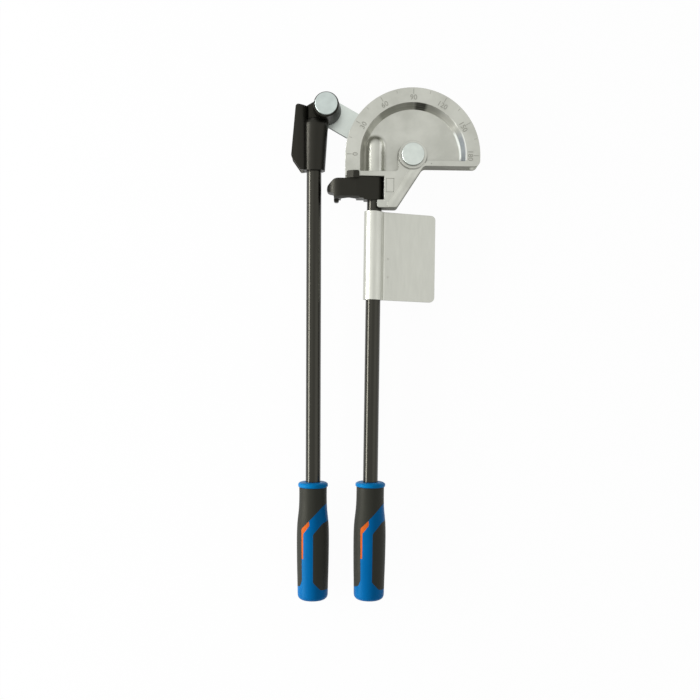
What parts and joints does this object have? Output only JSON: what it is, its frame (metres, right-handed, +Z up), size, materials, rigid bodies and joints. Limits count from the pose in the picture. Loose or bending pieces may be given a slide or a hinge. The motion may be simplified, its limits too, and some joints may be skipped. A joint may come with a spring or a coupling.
{
  "type": "pipe bender",
  "caption": "Two-handled lever bender for copper tube: grooved half-disc former with angle scale, swinging lever with shoe, link, tube hook, vice plate and two-colour grips.",
  "frame": {"origin": "on the surface that the tool lies on, under the middle of its outline", "axes": "+X across the tool from the lever towards the former, +Y along the handles towards the former, +Z up out of the scale"},
  "size_m": [0.2019, 0.5513, 0.0404],
  "materials": {
    "cast_aluminium": "tumbled casting, satin",
    "sheet_aluminium": "mill finish",
    "zinc_steel": "bright zinc",
    "spring_steel": "phosphated",
    "nylon": "natural",
    "black_tube": "gloss",
    "black_casting": "satin",
    "blue_plastic": "satin",
    "soft_cover": "matte",
    "orange_plastic": "satin"
  },
  "bodies": {
    "frame": {"former": "cast_aluminium", "centre_pin": "zinc_steel", "centre_pin_ring": "spring_steel", "centre_washer": "nylon", "fixed_tube": "black_tube", "fixed_tube_pin": "spring_steel", "vice_plate": "sheet_aluminium", "fixed_grip_core": "blue_plastic", "fixed_grip_cover": "soft_cover", "fixed_grip_stripe": "orange_plastic"},
    "hook": {"tube_hook": "black_casting"},
    "link": {"link_bar": "zinc_steel", "lever_pin": "zinc_steel", "lever_pin_ring": "spring_steel", "lever_washer": "nylon"},
    "lever": {"lever_head": "black_casting", "lever_tube": "black_tube", "lever_tube_pin": "spring_steel", "lever_grip_core": "blue_plastic", "lever_grip_cover": "soft_cover", "lever_grip_stripe": "orange_plastic"}
  },
  "joints": [
    {"name": "link_swing", "type": "hinge", "parent": "frame", "child": "link", "pos_m": [0.02933, 0.20355, 0.0072], "axis": [0, 0, 1], "range_deg": [-175, 1]},
    {"name": "lever_swing", "type": "hinge", "parent": "link", "child": "lever", "pos_m": [-0.06373, 0.25535, 0.0203], "axis": [0, 0, 1], "range_deg": [-188, 1]},
    {"name": "hook_swing", "type": "hinge", "parent": "frame", "child": "hook", "pos_m": [-0.01067, 0.16795, 0.0203], "axis": [0, 1, 0], "range_deg": [0, 80]}
  ]
}
